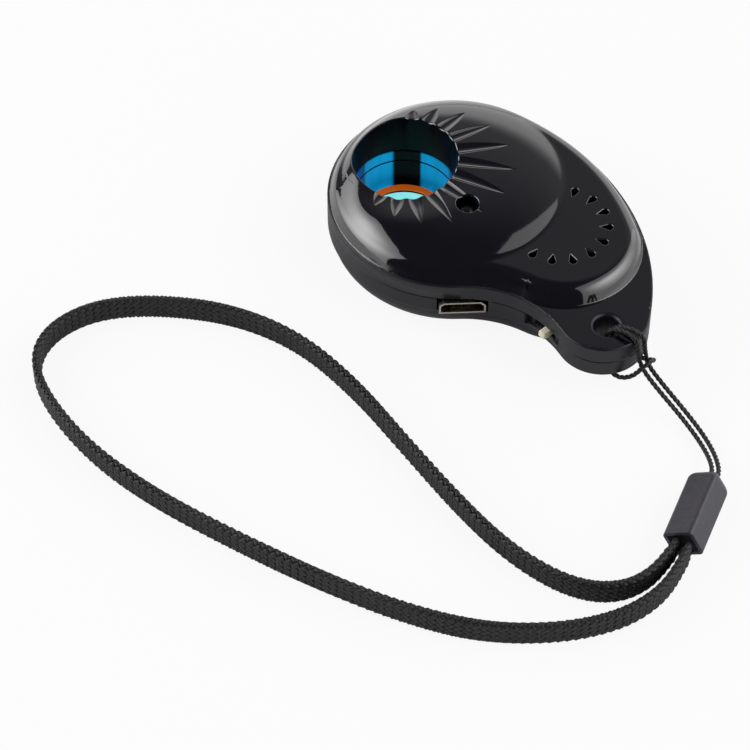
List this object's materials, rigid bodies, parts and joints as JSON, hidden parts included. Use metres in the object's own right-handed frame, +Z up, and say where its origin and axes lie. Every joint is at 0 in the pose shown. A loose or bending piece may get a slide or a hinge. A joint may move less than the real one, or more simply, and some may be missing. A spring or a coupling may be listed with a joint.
{
  "type": "pocket camera finder",
  "caption": "Comma-shaped gloss black pocket camera finder with a see-through viewing port, sounder holes, charging socket, slide switch and a braided wrist strap.",
  "frame": {"origin": "middle of the casing's box, on the surface that the belly rests on; the lanyard is not counted", "axes": "+X from the round head to the lanyard eyelet, +Z up out of the dome, +Y across, away from the charging socket"},
  "size_m": [0.1024, 0.0961, 0.0165],
  "materials": {
    "casing": "high gloss moulded black",
    "tube": "high gloss black",
    "filter": "coated cyan glass",
    "ring": "gloss orange",
    "steel": "nickel plated",
    "black_plastic": "moulded black",
    "brass": "gilt",
    "knob": "moulded cream",
    "board": "green solder mask",
    "red_lamp": "clear red lens",
    "dark_lamp": "dark lens",
    "chip": "moulded black",
    "ceramic": "ceramic",
    "tape": "foam",
    "cell": "satin foil",
    "lead_red": "smooth",
    "lead_black": "smooth",
    "string": "twisted cord",
    "clasp": "satin dark grey",
    "braid": "flat braid"
  },
  "bodies": {
    "casing": {"upper_cover": "casing", "lower_cover": "casing", "viewing_tube": "tube", "filter_glass": "filter", "filter_ring": "ring", "socket_shell": "steel", "socket_tongue": "black_plastic", "socket_contacts": "brass", "switch_can": "steel", "switch_base": "black_plastic", "switch_pins": "steel", "circuit_board": "board", "flash_lamps": "red_lamp", "emitter_lamp": "dark_lamp", "lamp_spacer": "black_plastic", "controller_chip": "chip", "charger_chip": "chip", "receiver_chip": "chip", "small_parts": "ceramic", "crystal": "steel", "buzzer_case": "black_plastic", "buzzer_disc": "brass", "battery_pad": "tape", "battery_cell": "cell", "battery_lead_red": "lead_red", "battery_lead_black": "lead_black", "case_screws": "steel", "lanyard_string": "string", "lanyard_clasp": "clasp", "wrist_strap": "braid"},
    "knob": {"switch_knob": "knob"}
  },
  "joints": [
    {"name": "switch_slide", "type": "slide", "parent": "casing", "child": "knob", "axis": [-1, 0, 0], "range_m": [0, 0.0022]}
  ]
}
